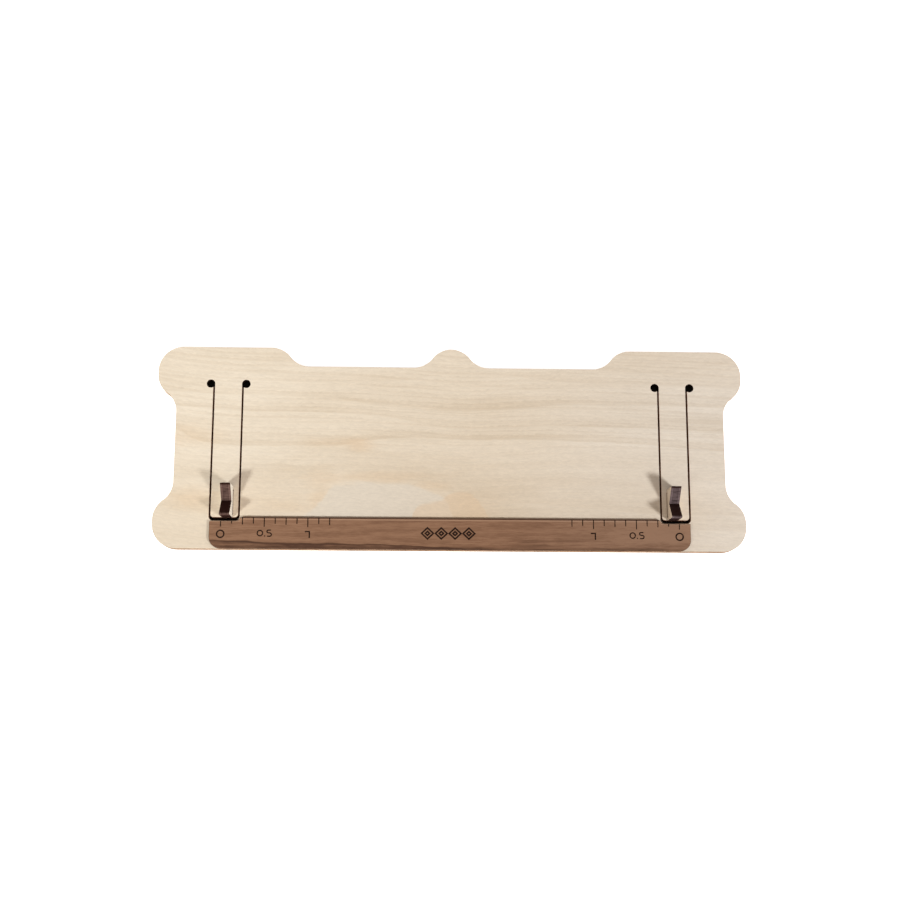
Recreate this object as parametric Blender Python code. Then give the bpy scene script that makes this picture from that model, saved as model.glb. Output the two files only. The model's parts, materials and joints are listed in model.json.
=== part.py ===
"""A small hand loom: a laser-cut plywood plate with two springy tongues, a notched post on each
tongue, and a walnut ruler strip along the front edge.

Metres, +Z up. X runs along the ruler, Y runs from the front edge to the back, and the origin is
the middle of the plate's underside.
"""

import math

import bmesh
import bpy

# The sheet that the plate, the tongues and the posts are cut from.
SHEET = 0.0030
KERF_GAP = 0.00046
GLUE_GAP = 0.0001
ARC_STEP = math.radians(8)

# The plate's outline: round bends of one radius and one step height, between straight edges.
WIDTH = 0.1748
DEPTH = 0.06075
CORNER_RADIUS = 0.0073
BEND_RADIUS = 0.0070
BEND_STEP = 0.0057
BEND_ANGLE = math.acos(1 - BEND_STEP / (2 * BEND_RADIUS))
BEND_RUN = 2 * BEND_RADIUS * math.sin(BEND_ANGLE)
LOBE_FLAT = 0.0013
BACK_LOBE_INNER_END = 0.0538
FRONT = -DEPTH / 2

# The tongues: each is free on three sides and joins the plate along its root, between two holes.
TONGUE_X = 0.06646
TONGUE_WIDTH = 0.0081
TONGUE_TIP = FRONT + 0.0093
TONGUE_ROOT = FRONT + 0.0495
TONGUE_CORNER = 0.0009
TIP_GAP = 0.0009
OPENING_CORNER = 0.0012
RELIEF_HOLE_RADIUS = 0.0012
ROOT_GAP = 0.0003

# The posts: sheet standing on edge across X, with an open V for the cord and a tab below.
POST_X = 0.0656
POST_FRONT = FRONT + 0.0092
POST_DEPTH = 0.00925
POST_HEIGHT = 0.0068
NOTCH_DEPTH = 0.00405
NOTCH_WIDTH = 0.00855
TIP_CHAMFER = 0.00018
TAB_LENGTH = 0.0070
TAB_CLEARANCE = 0.0001

# The ruler strip, glued on top: it steps forward where it passes the tongues' tips.
STRIP_THICKNESS = 0.0007
STRIP_HALF_LENGTH = 0.07065
STRIP_FRONT = FRONT + 0.00005
STRIP_BACK = FRONT + 0.0093
STRIP_BACK_AT_TONGUES = FRONT + 0.0081
STRIP_STEP_X = 0.0611
STRIP_STEP_RADIUS = 0.0009
STRIP_CORNER = 0.0034

# The scale: a mark each eighth of an inch, counted inwards from a zero at each end.
INCH = 0.0254
ZERO_X = 2.65 * INCH
MARK_COUNT = 11
MARK_WIDTH = 0.00028
MARK_DEPTH = 0.0002
MARK_END_HALF = FRONT + 0.00645
MARK_END_QUARTER = FRONT + 0.0071
MARK_END_EIGHTH = FRONT + 0.00735

SIDES = {"left": -1, "right": 1}


class Pen:
    """Draws a flat outline as straight runs and round bends; headings are in radians from +X."""

    def __init__(self, x, y, heading):
        self.points = [(x, y)]
        self.heading = heading

    def go(self, length):
        x, y = self.points[-1]
        self.points.append((x + length * math.cos(self.heading), y + length * math.sin(self.heading)))

    def bend(self, radius, angle):
        """Follows an arc; a positive angle turns left."""
        steps = max(2, math.ceil(abs(angle) / ARC_STEP))
        chord = 2 * radius * math.sin(abs(angle) / steps / 2)
        for _ in range(steps):
            self.heading += angle / steps / 2
            self.go(chord)
            self.heading += angle / steps / 2

    def step_left(self, radius, angle):
        self.bend(radius, angle)
        self.bend(radius, -angle)

    def step_right(self, radius, angle):
        self.bend(radius, -angle)
        self.bend(radius, angle)


def mirrored(points):
    """Closes a half outline, drawn at x >= 0 from one end to the other, with its mirror image."""
    left = [(-x, y) for x, y in reversed(points) if x > 1e-6]
    return points + left


def plate_outline():
    waist = DEPTH - 2 * (CORNER_RADIUS + LOBE_FLAT + BEND_RUN)
    pen = Pen(WIDTH / 2 - CORNER_RADIUS, FRONT, 0)
    pen.bend(CORNER_RADIUS, math.pi / 2)
    pen.go(LOBE_FLAT)
    pen.step_left(BEND_RADIUS, BEND_ANGLE)
    pen.go(waist)
    pen.step_right(BEND_RADIUS, BEND_ANGLE)
    pen.go(LOBE_FLAT)
    pen.bend(CORNER_RADIUS, math.pi / 2)
    pen.go(WIDTH / 2 - CORNER_RADIUS - BACK_LOBE_INNER_END)
    pen.step_left(BEND_RADIUS, BEND_ANGLE)
    pen.go(BACK_LOBE_INNER_END - 2 * BEND_RUN)
    pen.step_right(BEND_RADIUS, BEND_ANGLE)
    return mirrored(pen.points)


def tongue_opening(centre_x):
    """The hole in the plate around a tongue, with a round relief hole at the end of each slot."""
    half_tongue = TONGUE_WIDTH / 2
    half_opening = half_tongue + KERF_GAP
    into_hole = math.acos((RELIEF_HOLE_RADIUS - KERF_GAP) / RELIEF_HOLE_RADIUS)
    drop = RELIEF_HOLE_RADIUS * math.sin(into_hole)
    front = TONGUE_TIP - TIP_GAP

    pen = Pen(half_opening - OPENING_CORNER, front, 0)
    pen.bend(OPENING_CORNER, math.pi / 2)
    pen.go(TONGUE_ROOT - drop - front - OPENING_CORNER)
    pen.heading = into_hole - math.pi / 2
    pen.bend(RELIEF_HOLE_RADIUS, 2 * math.pi - into_hole)
    return [(centre_x + x, y) for x, y in mirrored(pen.points)]


def tongue_outline():
    """Seen from the hinge line at its root, so the tip lies towards -Y."""
    length = TONGUE_ROOT - ROOT_GAP - TONGUE_TIP
    pen = Pen(TONGUE_WIDTH / 2 - TONGUE_CORNER, TONGUE_TIP - TONGUE_ROOT, 0)
    pen.bend(TONGUE_CORNER, math.pi / 2)
    pen.go(length - TONGUE_CORNER)
    return mirrored(pen.points)


def mortise(side):
    """The slot through a tongue that takes the post's tab."""
    centre_x = side * (POST_X - TONGUE_X)
    centre_y = POST_FRONT + POST_DEPTH / 2 - TONGUE_ROOT
    half_x = SHEET / 2 + TAB_CLEARANCE
    half_y = TAB_LENGTH / 2 + TAB_CLEARANCE
    corners = ((-1, -1), (1, -1), (1, 1), (-1, 1))
    return [(centre_x + i * half_x, centre_y + j * half_y) for i, j in corners]


def post_outline():
    """Seen along X: y runs across the post from its middle, z up from the top of the tongue."""
    outer = POST_DEPTH / 2
    valley = POST_HEIGHT - NOTCH_DEPTH
    half = [
        (TAB_LENGTH / 2, TAB_CLEARANCE - SHEET),
        (TAB_LENGTH / 2, GLUE_GAP),
        (outer, GLUE_GAP),
        (outer, POST_HEIGHT - TIP_CHAMFER),
        (outer - TIP_CHAMFER, POST_HEIGHT),
        (NOTCH_WIDTH / 2, POST_HEIGHT),
        (0, valley),
    ]
    return mirrored(half)


def strip_outline():
    end_straight = STRIP_BACK_AT_TONGUES - STRIP_FRONT - STRIP_CORNER
    rise = STRIP_BACK - STRIP_BACK_AT_TONGUES
    angle = math.acos(1 - rise / (2 * STRIP_STEP_RADIUS))
    run = 2 * STRIP_STEP_RADIUS * math.sin(angle)

    pen = Pen(STRIP_HALF_LENGTH - STRIP_CORNER, STRIP_FRONT, 0)
    pen.bend(STRIP_CORNER, math.pi / 2)
    pen.go(end_straight)
    pen.heading = math.pi
    pen.go(STRIP_HALF_LENGTH - STRIP_STEP_X - run)
    pen.step_right(STRIP_STEP_RADIUS, angle)
    return mirrored(pen.points)


def make_material(name, colour, roughness):
    material = bpy.data.materials.new(name)
    material.use_nodes = True
    shader = material.node_tree.nodes["Principled BSDF"]
    shader.inputs["Base Color"].default_value = (*colour, 1)
    shader.inputs["Roughness"].default_value = roughness
    shader.inputs["Metallic"].default_value = 0
    return material


def make_flat_piece(name, outlines, thickness, material, collection):
    """A flat sheet piece centred on z = 0: the first outline is its edge, the others are holes."""
    curve = bpy.data.curves.new(name, "CURVE")
    curve.dimensions = "2D"
    curve.fill_mode = "BOTH"
    curve.extrude = thickness / 2
    for outline in outlines:
        spline = curve.splines.new("POLY")
        spline.points.add(len(outline) - 1)
        for point, (x, y) in zip(spline.points, outline):
            point.co = (x, y, 0, 1)
        spline.use_cyclic_u = True
    curve.materials.append(material)
    piece = bpy.data.objects.new(name, curve)
    collection.objects.link(piece)
    return piece


def make_mesh_from(piece, collection):
    """Replaces a curve piece with a closed mesh of the same name and place, ready for a Boolean."""
    bpy.context.view_layer.update()
    graph = bpy.context.evaluated_depsgraph_get()
    mesh = bpy.data.meshes.new_from_object(piece.evaluated_get(graph))
    shape = bmesh.new()
    shape.from_mesh(mesh)
    bmesh.ops.remove_doubles(shape, verts=shape.verts, dist=1e-6)
    shape.to_mesh(mesh)
    shape.free()
    name = piece.name
    made = bpy.data.objects.new(name + "_mesh", mesh)
    made.matrix_world = piece.matrix_world
    bpy.data.objects.remove(piece)
    made.name = name
    collection.objects.link(made)
    return made


def make_scale_cutter(collection):
    """All the ruler's marks, as blocks that cut grooves from the strip's back edge forwards."""
    top = SHEET + GLUE_GAP + STRIP_THICKNESS
    margin = 0.001
    blocks = bmesh.new()
    for side in SIDES.values():
        for mark in range(MARK_COUNT):
            if mark % 4 == 0:
                end = MARK_END_HALF
            elif mark % 2 == 0:
                end = MARK_END_QUARTER
            else:
                end = MARK_END_EIGHTH
            x = side * (ZERO_X - mark * INCH / 8)
            length = STRIP_BACK + margin - end
            block = bmesh.ops.create_cube(blocks, size=1)["verts"]
            bmesh.ops.scale(blocks, vec=(MARK_WIDTH, length, MARK_DEPTH + margin), verts=block)
            middle = (x, end + length / 2, top - MARK_DEPTH + (MARK_DEPTH + margin) / 2)
            bmesh.ops.translate(blocks, vec=middle, verts=block)
    mesh = bpy.data.meshes.new("scale_cutter")
    blocks.to_mesh(mesh)
    blocks.free()
    cutter = bpy.data.objects.new("scale_cutter", mesh)
    cutter.hide_render = True
    cutter.display_type = "WIRE"
    collection.objects.link(cutter)
    return cutter


def make_base_plate(material, collection):
    openings = [tongue_opening(side * TONGUE_X) for side in SIDES.values()]
    plate = make_flat_piece("base_plate", [plate_outline(), *openings], SHEET, material, collection)
    plate.location = (0, 0, SHEET / 2)


def make_ruler_strip(material, collection, cutters):
    strip = make_flat_piece("ruler_strip", [strip_outline()], STRIP_THICKNESS, material, collection)
    strip.location = (0, 0, SHEET + GLUE_GAP + STRIP_THICKNESS / 2)
    strip = make_mesh_from(strip, collection)
    grooves = strip.modifiers.new("scale", "BOOLEAN")
    grooves.object = make_scale_cutter(cutters)
    grooves.operation = "DIFFERENCE"
    grooves.solver = "EXACT"


def make_arm(name, side, material, collection):
    """A tongue and its post, on an empty at the middle of the tongue's root, where it bends."""
    pivot = bpy.data.objects.new(name + "_pivot", None)
    pivot.location = (side * TONGUE_X, TONGUE_ROOT, SHEET / 2)
    pivot.empty_display_size = 0.01
    collection.objects.link(pivot)

    tongue_outlines = [tongue_outline(), mortise(side)]
    tongue = make_flat_piece(name + "_tongue", tongue_outlines, SHEET, material, collection)
    tongue.parent = pivot

    post = make_flat_piece(name + "_post", [post_outline()], SHEET, material, collection)
    post.parent = pivot
    post_y = POST_FRONT + POST_DEPTH / 2 - TONGUE_ROOT
    post.location = (side * (POST_X - TONGUE_X), post_y, SHEET / 2)
    # Turned so that the outline's x runs along +Y and its y runs up.
    post.rotation_euler = (math.pi / 2, 0, math.pi / 2)


def make_collection(name):
    collection = bpy.data.collections.new(name)
    bpy.context.scene.collection.children.link(collection)
    return collection


def main():
    for old in list(bpy.data.objects):
        bpy.data.objects.remove(old)
    loom = make_collection("loom")
    cutters = make_collection("cutters")
    plywood = make_material("light_plywood", (0.76, 0.64, 0.49), 0.6)
    walnut = make_material("walnut", (0.29, 0.17, 0.10), 0.5)
    make_base_plate(plywood, loom)
    make_ruler_strip(walnut, loom, cutters)
    for name, side in SIDES.items():
        make_arm(name, side, plywood, loom)


main()
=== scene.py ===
import json
import math

import bmesh
import bpy
from mathutils import Matrix, Vector


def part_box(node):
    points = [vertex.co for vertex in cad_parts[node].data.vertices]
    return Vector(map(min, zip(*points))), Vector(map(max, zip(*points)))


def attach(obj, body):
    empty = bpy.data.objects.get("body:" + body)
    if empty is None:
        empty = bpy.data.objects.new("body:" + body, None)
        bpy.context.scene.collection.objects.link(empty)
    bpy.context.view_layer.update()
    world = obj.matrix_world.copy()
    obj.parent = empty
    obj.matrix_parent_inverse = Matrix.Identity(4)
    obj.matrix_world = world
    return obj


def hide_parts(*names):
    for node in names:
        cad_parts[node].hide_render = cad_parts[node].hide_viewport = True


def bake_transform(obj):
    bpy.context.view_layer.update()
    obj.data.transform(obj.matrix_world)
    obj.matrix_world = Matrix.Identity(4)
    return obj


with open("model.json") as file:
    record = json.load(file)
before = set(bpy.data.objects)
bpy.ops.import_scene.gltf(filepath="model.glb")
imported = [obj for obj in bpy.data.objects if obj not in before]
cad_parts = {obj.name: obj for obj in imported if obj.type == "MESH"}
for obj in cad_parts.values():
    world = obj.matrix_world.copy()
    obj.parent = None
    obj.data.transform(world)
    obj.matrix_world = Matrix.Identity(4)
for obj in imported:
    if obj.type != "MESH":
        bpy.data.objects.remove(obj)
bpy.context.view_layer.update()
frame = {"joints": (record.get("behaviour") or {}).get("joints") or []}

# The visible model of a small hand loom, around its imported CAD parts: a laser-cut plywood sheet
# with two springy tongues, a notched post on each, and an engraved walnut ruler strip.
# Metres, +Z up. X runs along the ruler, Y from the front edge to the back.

MM = 0.001
SIDES = {"left": -1, "right": 1}

# Places and sizes that the CAD nodes give.
plate_low, plate_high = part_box("base_plate")
tongue_low, tongue_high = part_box("right_tongue")
post_low, post_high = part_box("right_post")
strip_low, strip_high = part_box("ruler_strip")
WIDTH = plate_high.x - plate_low.x
DEPTH = plate_high.y - plate_low.y
FRONT = plate_low.y
SHEET = plate_high.z
TONGUE_X = (tongue_low.x + tongue_high.x) / 2
TONGUE_WIDTH = tongue_high.x - tongue_low.x
TONGUE_TIP = tongue_low.y
TONGUE_ROOT = frame["joints"][0]["pos_m"][1]
POST_X = (post_low.x + post_high.x) / 2
POST_Y = (post_low.y + post_high.y) / 2
POST_DEPTH = post_high.y - post_low.y
POST_TOP = post_high.z
STRIP_TOP = strip_high.z
STRIP_HALF_LENGTH = strip_high.x
STRIP_FRONT = strip_low.y
STRIP_BACK = strip_high.y

# The rest of the outlines' sizes, as the CAD source has them.
ARC_STEP = math.radians(3)
CORNER_RADIUS = 7.3 * MM
BEND_RADIUS = 7.0 * MM
BEND_STEP = 5.7 * MM
BEND_ANGLE = math.acos(1 - BEND_STEP / (2 * BEND_RADIUS))
BEND_RUN = 2 * BEND_RADIUS * math.sin(BEND_ANGLE)
LOBE_FLAT = 1.3 * MM
BACK_LOBE_INNER_END = 53.8 * MM
KERF_GAP = 0.46 * MM
TIP_GAP = 0.9 * MM
TONGUE_CORNER = 0.9 * MM
OPENING_CORNER = 1.2 * MM
RELIEF_HOLE_RADIUS = 1.2 * MM
NOTCH_DEPTH = 4.05 * MM
NOTCH_WIDTH = 8.55 * MM
TAB_LENGTH = 7.0 * MM
MORTISE_GAP = 0.12 * MM
TAB_END = 0.1 * MM
STRIP_BACK_AT_TONGUES = FRONT + 8.1 * MM
STRIP_STEP_X = 61.1 * MM
STRIP_STEP_RADIUS = 0.9 * MM
STRIP_CORNER = 3.4 * MM
INCH = 25.4 * MM
ZERO_X = 2.65 * INCH
MARK_COUNT = 11
MARK_WIDTH = 0.28 * MM
MARK_END_HALF = FRONT + 6.45 * MM
MARK_END_QUARTER = FRONT + 7.1 * MM
MARK_END_EIGHTH = FRONT + 7.35 * MM
ENGRAVING_DEPTH = 0.2 * MM

# Finer shapes than the CAD has.
EDGE_ROUND = 0.06 * MM
POST_EDGE_ROUND = 0.05 * MM
STRIP_EDGE_ROUND = 0.07 * MM
POST_CREST_ROUND = 0.3 * MM
POST_SIDE_ROUND = 0.14 * MM
BEND_SLICE = 1.4 * MM
BEND_END = FRONT + 20.5 * MM
ROOT_CUT = TONGUE_ROOT - 0.05 * MM
NUMERAL_STROKE = 0.40 * MM
MOTIF_STROKE = 0.46 * MM
LOZENGE_COUNT = 4
LOZENGE_SPACING = 4.05 * MM
LOZENGE_HALF_SIZES = (1.72 * MM, 1.62 * MM), (0.62 * MM, 0.58 * MM)
MOTIF_PLACE = (-0.85 * MM, FRONT + 4.85 * MM)
FINE_ARC_STEP = math.radians(9)
STRIP_ARC_STEP = math.radians(6)
SMOOTH_UP_TO = math.radians(15)
SHARPEST_MITRE = 0.35

# How far a face may be from its nominal place when its material is chosen.
LEEWAY = 0.1 * MM
STRIP_LEEWAY = 0.02 * MM


# ---------------------------------------------------------------- outlines


class Pen:
    """Draws a flat outline as straight runs and round bends; headings are in radians from +X."""

    def __init__(self, x, y, heading=0.0, arc_step=ARC_STEP):
        self.points = [(x, y)]
        self.heading = heading
        self.arc_step = arc_step

    def go(self, length):
        x, y = self.points[-1]
        self.points.append((x + length * math.cos(self.heading), y + length * math.sin(self.heading)))

    def bend(self, radius, angle):
        """Follows an arc; a positive angle turns left."""
        steps = max(2, math.ceil(abs(angle) / self.arc_step))
        chord = 2 * radius * math.sin(abs(angle) / steps / 2)
        for _ in range(steps):
            self.heading += angle / steps / 2
            self.go(chord)
            self.heading += angle / steps / 2

    def step_left(self, radius, angle):
        self.bend(radius, angle)
        self.bend(radius, -angle)

    def step_right(self, radius, angle):
        self.bend(radius, -angle)
        self.bend(radius, angle)


def mirrored(points):
    """Closes a half outline, drawn at x >= 0 from one end to the other, with its mirror image."""
    left = [(-x, y) for x, y in reversed(points) if x > 1e-6]
    return points + left


def moved(points, x, y=0.0):
    return [(px + x, py + y) for px, py in points]


def plate_outline():
    waist = DEPTH - 2 * (CORNER_RADIUS + LOBE_FLAT + BEND_RUN)
    pen = Pen(WIDTH / 2 - CORNER_RADIUS, FRONT)
    pen.bend(CORNER_RADIUS, math.pi / 2)
    pen.go(LOBE_FLAT)
    pen.step_left(BEND_RADIUS, BEND_ANGLE)
    pen.go(waist)
    pen.step_right(BEND_RADIUS, BEND_ANGLE)
    pen.go(LOBE_FLAT)
    pen.bend(CORNER_RADIUS, math.pi / 2)
    pen.go(WIDTH / 2 - CORNER_RADIUS - BACK_LOBE_INNER_END)
    pen.step_left(BEND_RADIUS, BEND_ANGLE)
    pen.go(BACK_LOBE_INNER_END - 2 * BEND_RUN)
    pen.step_right(BEND_RADIUS, BEND_ANGLE)
    return mirrored(pen.points)


def slot_outline():
    """The U-shaped cut round a tongue: its outer side, a relief hole, then the tongue's own side."""
    half_tongue = TONGUE_WIDTH / 2
    half_opening = half_tongue + KERF_GAP
    into_hole = math.acos((RELIEF_HOLE_RADIUS - KERF_GAP) / RELIEF_HOLE_RADIUS)
    drop = RELIEF_HOLE_RADIUS * math.sin(into_hole)
    front = TONGUE_TIP - TIP_GAP

    pen = Pen(half_opening - OPENING_CORNER, front, arc_step=FINE_ARC_STEP)
    pen.bend(OPENING_CORNER, math.pi / 2)
    pen.go(TONGUE_ROOT - drop - front - OPENING_CORNER)
    pen.heading = into_hole - math.pi / 2
    pen.bend(RELIEF_HOLE_RADIUS, 2 * math.pi - into_hole)
    pen.heading = -math.pi / 2
    pen.go(TONGUE_ROOT - TONGUE_TIP - TONGUE_CORNER)
    pen.bend(TONGUE_CORNER, -math.pi / 2)
    return mirrored(pen.points)


def rectangle(half_x, half_y):
    return [(-half_x, -half_y), (half_x, -half_y), (half_x, half_y), (-half_x, half_y)]


def rounded_corner(before, corner, after, radius, steps=5):
    """Points of an arc of this radius that rounds a corner off."""
    b, c, a = Vector(before), Vector(corner), Vector(after)
    to_b, to_a = (b - c).normalized(), (a - c).normalized()
    half = to_b.angle(to_a) / 2
    reach = radius / math.tan(half)
    middle = c + (to_b + to_a).normalized() * (radius / math.sin(half))
    start, end = c + to_b * reach - middle, c + to_a * reach - middle
    turn = math.atan2(start.x * end.y - start.y * end.x, start.dot(end))
    made = []
    for step in range(steps + 1):
        angle = turn * step / steps
        x = start.x * math.cos(angle) - start.y * math.sin(angle)
        y = start.x * math.sin(angle) + start.y * math.cos(angle)
        made.append((middle.x + x, middle.y + y))
    return made


def post_outline():
    """Seen along X: x runs across the post from its middle, y is the height above the table."""
    outer = POST_DEPTH / 2
    valley = (0, POST_TOP - NOTCH_DEPTH)
    inner_tip = (NOTCH_WIDTH / 2, POST_TOP)
    outer_tip = (outer, POST_TOP)
    half = [(TAB_LENGTH / 2, TAB_END), (TAB_LENGTH / 2, SHEET), (outer, SHEET)]
    half += rounded_corner((outer, SHEET), outer_tip, inner_tip, POST_SIDE_ROUND)
    half += rounded_corner(outer_tip, inner_tip, valley, POST_CREST_ROUND)
    half.append(valley)
    return mirrored(half)


def strip_outline():
    rise = STRIP_BACK - STRIP_BACK_AT_TONGUES
    angle = math.acos(1 - rise / (2 * STRIP_STEP_RADIUS))
    run = 2 * STRIP_STEP_RADIUS * math.sin(angle)
    pen = Pen(STRIP_HALF_LENGTH - STRIP_CORNER, STRIP_FRONT, arc_step=STRIP_ARC_STEP)
    pen.bend(STRIP_CORNER, math.pi / 2)
    pen.go(STRIP_BACK_AT_TONGUES - STRIP_FRONT - STRIP_CORNER)
    pen.heading = math.pi
    pen.go(STRIP_HALF_LENGTH - STRIP_STEP_X - run)
    pen.step_right(STRIP_STEP_RADIUS, angle)
    return mirrored(pen.points)


def signed_area(points):
    pairs = zip(points, points[1:] + points[:1])
    return sum(ax * by - bx * ay for (ax, ay), (bx, by) in pairs) / 2


# ---------------------------------------------------------------- meshes


def mesh_of(source):
    """A mesh copy of an object as its modifiers or its curve make it, in world space."""
    bpy.context.view_layer.update()
    graph = bpy.context.evaluated_depsgraph_get()
    mesh = bpy.data.meshes.new_from_object(source.evaluated_get(graph))
    mesh.transform(source.matrix_world)
    return mesh


def add_object(name, data):
    made = bpy.data.objects.new(name, data)
    bpy.context.scene.collection.objects.link(made)
    return made


def slab(name, outlines, low, high, edge_round=0.0):
    """A closed flat piece from z = low to high: the first outline is its edge, the rest are holes."""
    curve = bpy.data.curves.new(name, "CURVE")
    curve.dimensions = "2D"
    curve.fill_mode = "BOTH"
    curve.extrude = (high - low) / 2 - edge_round
    curve.bevel_depth = edge_round
    curve.bevel_resolution = 1
    curve.offset = -edge_round
    for number, outline in enumerate(outlines):
        anticlockwise = signed_area(outline) > 0
        points = outline if anticlockwise == (number == 0) else outline[::-1]
        spline = curve.splines.new("POLY")
        spline.points.add(len(points) - 1)
        for point, (x, y) in zip(spline.points, points):
            point.co = (x, y, 0, 1)
        spline.use_cyclic_u = True
    drawn = add_object(name + "_curve", curve)
    drawn.location.z = (low + high) / 2
    mesh = mesh_of(drawn)
    bpy.data.objects.remove(drawn)
    shape = bmesh.new()
    shape.from_mesh(mesh)
    bmesh.ops.remove_doubles(shape, verts=shape.verts, dist=1e-6)
    bmesh.ops.recalc_face_normals(shape, faces=shape.faces)
    shape.to_mesh(mesh)
    shape.free()
    mesh.name = name
    mesh.materials.clear()
    return add_object(name, mesh)


def block(name, low, high):
    """A cutter box between two corners."""
    shape = bmesh.new()
    bmesh.ops.create_cube(shape, size=1)
    size = Vector(high) - Vector(low)
    middle = (Vector(high) + Vector(low)) / 2
    placing = Matrix.Translation(middle) @ Matrix.Diagonal((*size, 1))
    bmesh.ops.transform(shape, matrix=placing, verts=shape.verts)
    mesh = bpy.data.meshes.new(name)
    shape.to_mesh(mesh)
    shape.free()
    return add_object(name, mesh)


def boolean(piece, cutter, operation, name=None):
    """The Boolean of two objects as a new object, or in place of the first one."""
    modifier = piece.modifiers.new("cut", "BOOLEAN")
    modifier.object = cutter
    modifier.operation = operation
    modifier.solver = "EXACT"
    mesh = mesh_of(piece)
    piece.modifiers.remove(modifier)
    if name:
        return add_object(name, mesh)
    piece.data = mesh
    return piece


def remove(*objects):
    for obj in objects:
        bpy.data.objects.remove(obj)


def paint(piece, materials, choose):
    """Gives each face one of the materials: choose(face) returns its number."""
    piece.data.materials.clear()
    for material in materials:
        piece.data.materials.append(material)
    for face in piece.data.polygons:
        face.material_index = choose(face)


def finish_mesh(piece):
    """Smooths the round edges, and stores each point's place at rest, which the wood grain follows."""
    mesh = piece.data
    mesh.polygons.foreach_set("use_smooth", [True] * len(mesh.polygons))
    mesh.set_sharp_from_angle(angle=SMOOTH_UP_TO)
    rest = mesh.attributes.new("rest", "FLOAT_VECTOR", "POINT")
    rest.data.foreach_set("vector", [c for v in mesh.vertices for c in piece.matrix_world @ v.co])


def is_flat_face(face):
    return abs(face.normal.z) > 0.999


# ---------------------------------------------------------------- shader helpers

# The ranges of X and Y, in millimetres, that a line drawn over the plate covers.
ACROSS_MM = (-90, 90)
ALONG_MM = (-40, 40)


class Nodes:
    """Adds shader nodes to one material and links them up."""

    def __init__(self, name):
        self.material = bpy.data.materials.new(name)
        self.material.use_nodes = True
        self.tree = self.material.node_tree
        self.shader = self.tree.nodes["Principled BSDF"]

    def add(self, kind, inputs, **settings):
        node = self.tree.nodes.new(kind)
        for key, value in settings.items():
            setattr(node, key, value)
        for key, value in inputs.items():
            self.set(node.inputs[key], value)
        return node

    def set(self, socket, value):
        if isinstance(value, bpy.types.NodeSocket):
            self.tree.links.new(value, socket)
        else:
            socket.default_value = value

    def math(self, operation, a, b=0.0, clamp=False):
        return self.add("ShaderNodeMath", {0: a, 1: b}, operation=operation, use_clamp=clamp).outputs[0]

    def product(self, a, b):
        return self.math("MULTIPLY", a, b)

    def total(self, first, *others):
        for other in others:
            first = self.math("ADD", first, other)
        return first

    def difference(self, a, b):
        return self.math("SUBTRACT", a, b)

    def absolute(self, a):
        return self.math("ABSOLUTE", a)

    def kept_in_range(self, value):
        """The value, held between 0 and 1."""
        return self.math("ADD", value, 0.0, clamp=True)

    def vector(self, operation, a, b):
        return self.add("ShaderNodeVectorMath", {0: a, 1: b}, operation=operation).outputs["Vector"]

    def length(self, a):
        return self.add("ShaderNodeVectorMath", {0: a}, operation="LENGTH").outputs["Value"]

    def split(self, vector):
        return self.add("ShaderNodeSeparateXYZ", {0: vector}).outputs

    def join(self, x, y, z):
        return self.add("ShaderNodeCombineXYZ", {0: x, 1: y, 2: z}).outputs[0]

    def noise(self, vector, detail=2.0, roughness=0.5, distortion=0.0):
        inputs = {"Vector": vector, "Scale": 1.0, "Detail": detail, "Roughness": roughness}
        inputs["Distortion"] = distortion
        return self.add("ShaderNodeTexNoise", inputs).outputs["Fac"]

    def remap(self, value, from_low, from_high, to_low=0.0, to_high=1.0, smooth=True):
        inputs = {0: value, 1: from_low, 2: from_high, 3: to_low, 4: to_high}
        kind = "SMOOTHSTEP" if smooth else "LINEAR"
        return self.add("ShaderNodeMapRange", inputs, interpolation_type=kind).outputs[0]

    def mix(self, factor, a, b, blend="MIX"):
        a = a if isinstance(a, bpy.types.NodeSocket) else (*a, 1)
        b = b if isinstance(b, bpy.types.NodeSocket) else (*b, 1)
        inputs = {0: factor, 6: a, 7: b}
        return self.add("ShaderNodeMix", inputs, data_type="RGBA", blend_type=blend).outputs[2]

    def curve(self, x, points, x_range=ACROSS_MM, y_range=ALONG_MM):
        """A smooth height over x that passes through the points."""
        x_share = self.remap(x, *x_range, smooth=False)
        node = self.add("ShaderNodeFloatCurve", {"Value": x_share})
        line = node.mapping.curves[0]
        span_x, span_y = x_range[1] - x_range[0], y_range[1] - y_range[0]
        places = [((px - x_range[0]) / span_x, (py - y_range[0]) / span_y) for px, py in points]
        line.points[0].location, line.points[1].location = places[0], places[-1]
        for place in places[1:-1]:
            line.points.new(*place)
        node.mapping.update()
        return self.remap(node.outputs[0], 0, 1, *y_range, smooth=False)

    def rest_mm(self):
        """The surface's place at rest, in millimetres, which doesn't slide when a tongue bends."""
        place = self.add("ShaderNodeAttribute", {}, attribute_name="rest").outputs["Vector"]
        return self.vector("MULTIPLY", place, (1000, 1000, 1000))

    def tint(self, colour, by):
        """The colour times another one."""
        return self.mix(1.0, colour, by, blend="MULTIPLY")

    def bump(self, height, strength, distance_mm):
        inputs = {"Height": height, "Strength": strength, "Distance": distance_mm * MM}
        self.set(self.shader.inputs["Normal"], self.add("ShaderNodeBump", inputs).outputs[0])

    def finish(self, colour, roughness):
        self.set(self.shader.inputs["Base Color"], colour)
        self.set(self.shader.inputs["Roughness"], roughness)
        return self.material


# ---------------------------------------------------------------- materials

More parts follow.
